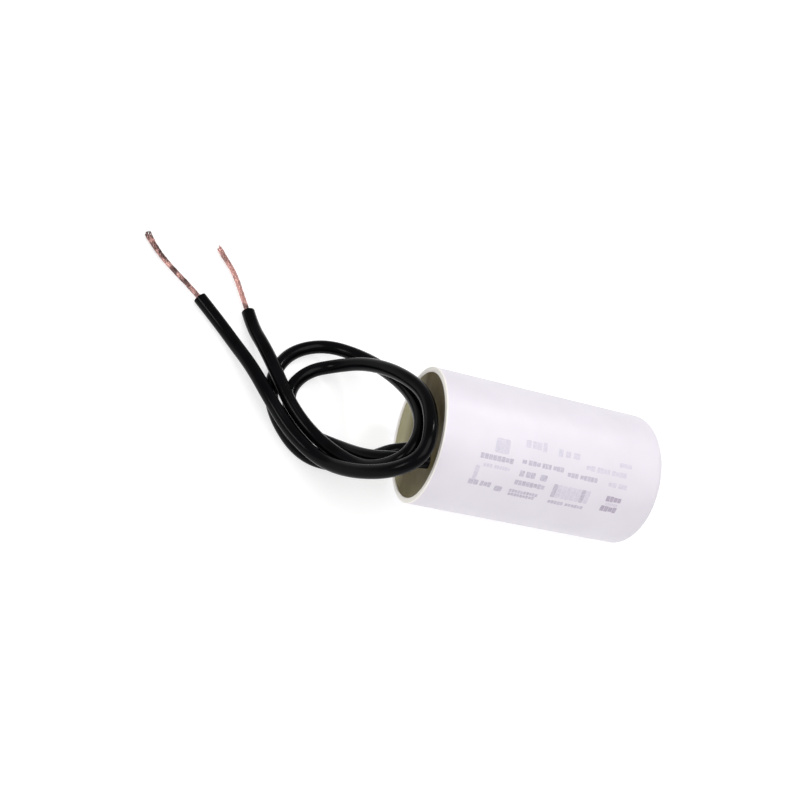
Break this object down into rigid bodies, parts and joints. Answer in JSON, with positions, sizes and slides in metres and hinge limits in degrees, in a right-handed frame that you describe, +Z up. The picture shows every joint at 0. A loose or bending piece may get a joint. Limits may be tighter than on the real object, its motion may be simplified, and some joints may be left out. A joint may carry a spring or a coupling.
{
  "type": "motor run capacitor",
  "caption": "Round moulded can with a closed end, potted with resin round a wound film element, and insulated leads that leave the open end in a loose loop to bare stripped ends.",
  "frame": {"origin": "On the surface that the can lies on, straight below the middle of the can's length and axis.", "axes": "+X runs along the can's axis from its open, resin-filled end to its closed end, +Z is up, and +Y is to the left of someone who looks along +X. The loop of the leads lies on the -X side and the stripped ends point to -X and +Y."},
  "size_m": [0.135, 0.0735, 0.035],
  "materials": {
    "can_plastic": "smooth satin",
    "resin": "cured resin, dull gloss",
    "film": "metallized film edge",
    "core_plastic": "plain moulded",
    "wrap_film": "clear film wrap",
    "sprayed_metal": "rough sprayed zinc",
    "insulation": "glossy black",
    "copper": "dull stranded copper",
    "solder": "bright solder"
  },
  "bodies": {
    "root": {"can": "can_plastic", "potting_resin": "resin", "film_winding": "film", "winding_core": "core_plastic", "outer_wrap": "wrap_film", "near_end_spray": "sprayed_metal", "far_end_spray": "sprayed_metal", "solder_joint_1": "solder", "solder_joint_2": "solder", "lead_1": "insulation", "lead_2": "insulation", "lead_1_stripped_end": "copper", "lead_2_stripped_end": "copper", "lead_1_soldered_end": "copper", "lead_2_soldered_end": "copper"}
  },
  "joints": []
}
